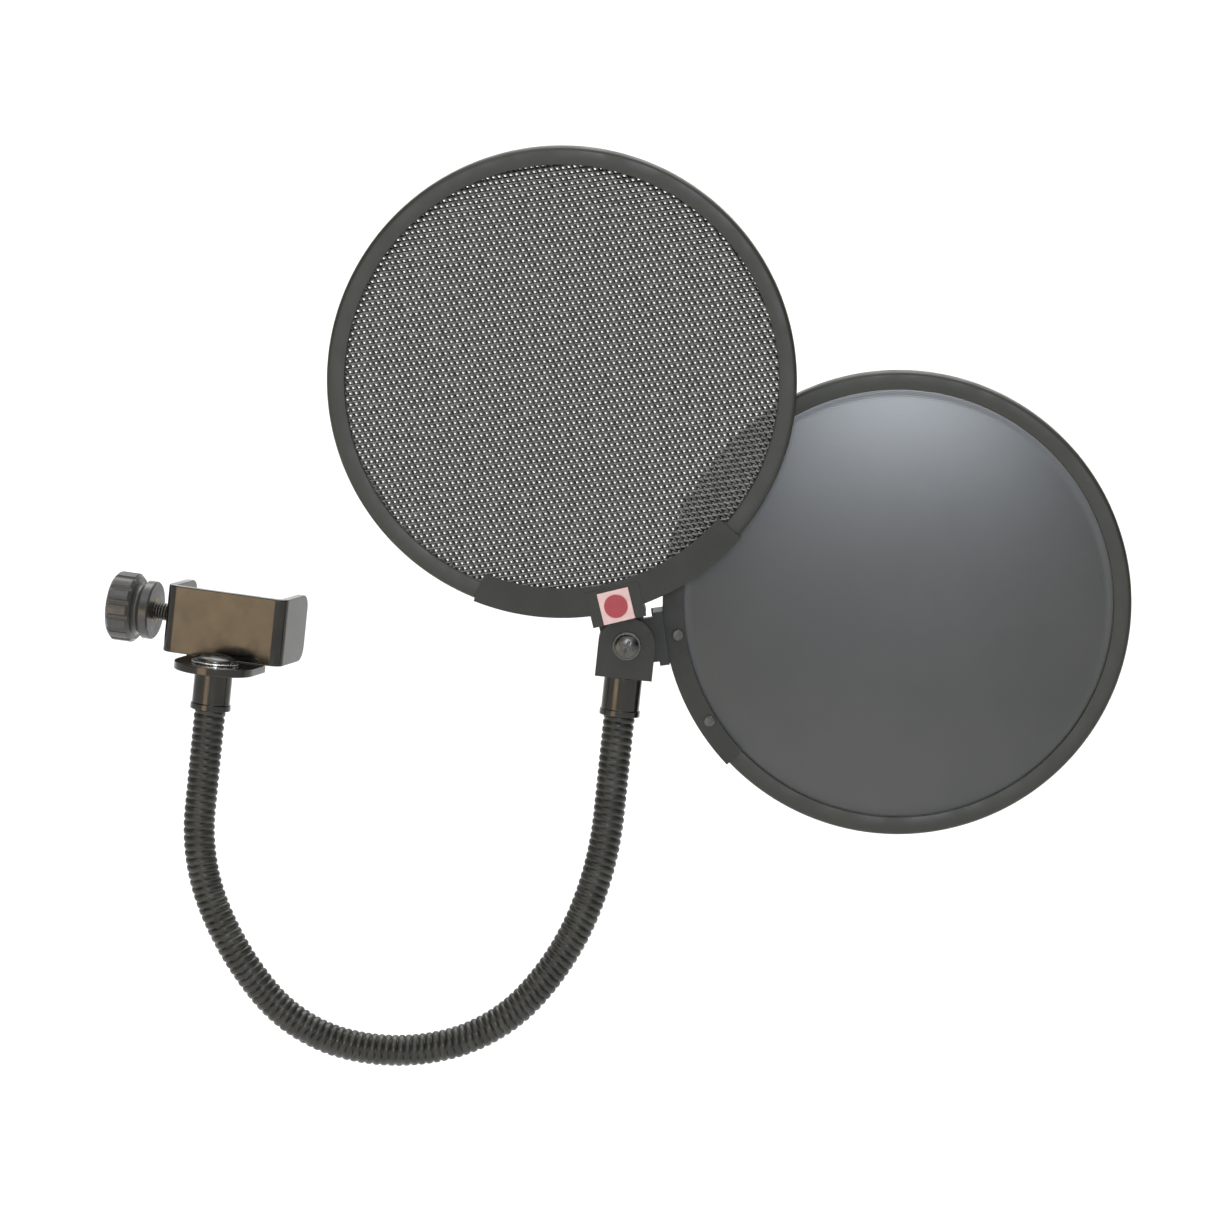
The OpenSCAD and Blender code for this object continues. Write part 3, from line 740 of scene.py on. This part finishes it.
def make_grille():
    """The mesh as expanded metal: a lattice of lozenge holes between tilted strands."""
    centre = round_facts("metal_hoop_front")[0]
    _, radius, front, back = round_facts("metal_mesh")
    reach = radius - GRILLE_INSET
    mid = (front + back) / 2
    a, b = CELL_LONG / 2, CELL_SHORT / 2
    across = int(reach / a) + 2
    up = int(reach / b) + 2
    c, s = math.cos(GRILLE_TURN), math.sin(GRILLE_TURN)
    verts, index, faces = [], {}, []

    def point(key, x, z, lift):
        """Index of the point that has this key, made on first use and turned with the lattice."""
        if key not in index:
            index[key] = len(verts)
            verts.append((centre.x + x * c - z * s, mid + lift, centre.z + x * s + z * c))
        return index[key]

    def cell(i, j):
        """Adds the strands round one hole; i and j count half cells from the middle."""
        x, z = i * a, j * b
        outer = [point((i + u, j + v), x + u * a, z + v * b, 0) for u, v in CORNERS]
        hole = [
            point((i, j, u, v), x + u * a * CELL_HOLE, z + v * b * CELL_HOLE, -v * STRAND_LIFT)
            for u, v in CORNERS
        ]
        middle = []
        for n in range(4):
            u = CORNERS[n][0] + CORNERS[(n + 1) % 4][0]
            v = CORNERS[n][1] + CORNERS[(n + 1) % 4][1]
            middle.append(point(
                (i, j, n), x + u * a * CELL_HOLE * SIDE_SPREAD, z + v * b * CELL_HOLE * SIDE_SPREAD,
                -v * STRAND_LIFT * SIDE_LIFT,
            ))
        for n in range(4):
            m = (n + 1) % 4
            faces.append((outer[n], outer[m], middle[n]))
            faces.append((outer[n], middle[n], hole[n]))
            faces.append((outer[m], hole[m], middle[n]))

    for i in range(-across, across + 1):
        for j in range(-up, up + 1):
            if (i + j) % 2 == 0 and math.hypot(i * a, j * b) + a <= reach:
                cell(i, j)
    obj = mesh_object("mesh_grille", verts, faces, smooth=25)
    modifier = obj.modifiers.new("sheet", "SOLIDIFY")
    modifier.thickness = SHEET_THICKNESS
    modifier.offset = 0
    apply_modifiers(obj)
    finish_piece(obj, "metal_mesh")


BELLY_FRONT = 3.2 * MM
BELLY_REAR = 1.2 * MM
BELLY_POWER = 2.4
NYLON_LIP = 0.12 * MM
LIP_WIDTH = 1.1 * MM
LIP_OUTSIDE = 0.4 * MM
NYLON_INSET = 0.2 * MM
NYLON_THICKNESS_SHARE = 0.5
NYLON_RINGS = 90
NYLON_SIDES = 192
# Below 1, it packs the rings closer towards the rim, where the lip is.
RING_SPACING = 0.8


def make_nylon(name, node, outward, bulge):
    """A nylon disc stretched over the tension hoop: a faint lip over its edge and a soft belly."""
    centre, radius, front, back = round_facts(node)
    rim = radius - NYLON_INSET
    lip_at = ring_inner("tension_hoop", centre) + LIP_OUTSIDE
    level = front if outward < 0 else back
    thickness = (back - front) * NYLON_THICKNESS_SHARE

    def height(r):
        """How far the sheet stands out at a radius, from the rest of its rim."""
        belly = bulge * max(0.0, 1 - (r / lip_at) ** BELLY_POWER)
        lip = NYLON_LIP * math.exp(-(((r - lip_at) / LIP_WIDTH) ** 2))
        return belly + lip - NYLON_LIP

    verts = []
    for shift in (0, thickness):
        for i in range(1, NYLON_RINGS + 1):
            r = rim * (i / NYLON_RINGS) ** RING_SPACING
            for j in range(NYLON_SIDES):
                a = 2 * math.pi * j / NYLON_SIDES
                y = level + outward * (height(r) - shift)
                verts.append((centre.x + r * math.cos(a), y, centre.z + r * math.sin(a)))
    base = NYLON_RINGS * NYLON_SIDES
    edge = base - NYLON_SIDES
    outer_face = grid_faces(NYLON_RINGS, NYLON_SIDES)
    faces = outer_face + [tuple(base + v for v in reversed(f)) for f in outer_face]
    for j in range(NYLON_SIDES):
        k = (j + 1) % NYLON_SIDES
        faces.append((edge + j, edge + k, base + edge + k, base + edge + j))
    for start, shift in ((0, 0), (base, thickness)):
        verts.append((centre.x, level + outward * (height(0) - shift), centre.z))
        hub = len(verts) - 1
        faces += [(hub, start + (j + 1) % NYLON_SIDES, start + j) for j in range(NYLON_SIDES)]
    obj = mesh_object(name, verts, faces, smooth=60)
    face_outwards(obj)
    finish_piece(obj, node)


# ---- everything else ----

# How far each solid's edges are rounded, in millimetres.
ROUNDED = {
    "clamp_bracket": 0.45, "thread_insert": 0.3, "fixed_jaw_pad": 0.7, "pressure_pad": 0.6,
    "pressure_plate": 0.3, "knob_body": 0.25, "knob_end_cap": 0.2, "neck_screw": 0.15,
    "head_washer": 0.15, "swivel_washer": 0.12, "ferrule_lower": 0.35, "ferrule_upper": 0.35,
    "hub_fork": 0.45, "pivot_screw": 0.12, "pivot_washer": 0.15, "nut_washer": 0.15,
    "pivot_nut": 0.3, "metal_arm": 0.3, "fabric_arm": 0.3, "metal_cradle_screws": 0.15,
    "fabric_cradle_screws": 0.15, "badge_plate": 0.25, "badge_dot": 0.15,
}


def make_rigid_pieces():
    """The solids that keep their CAD shape, with rounded edges."""
    for name, width in ROUNDED.items():
        refine(name, width * MM)


def dress_the_rest():
    """Gives the CAD nodes that still show their slot's material."""
    for name, obj in nodes.items():
        if not obj.hide_render:
            obj.data.materials.clear()
            obj.data.materials.append(paint[slots[name]])


target = place_camera()
set_world()
make_stage()
light_scene(target)
make_neck()
make_clamp_screw()
make_hoops()
make_grille()
make_nylon("nylon_front", "fabric_front", -1, BELLY_FRONT)
make_nylon("nylon_rear", "fabric_rear", 1, BELLY_REAR)
make_rigid_pieces()
dress_the_rest()
bpy.context.scene.view_settings.view_transform = "Standard"
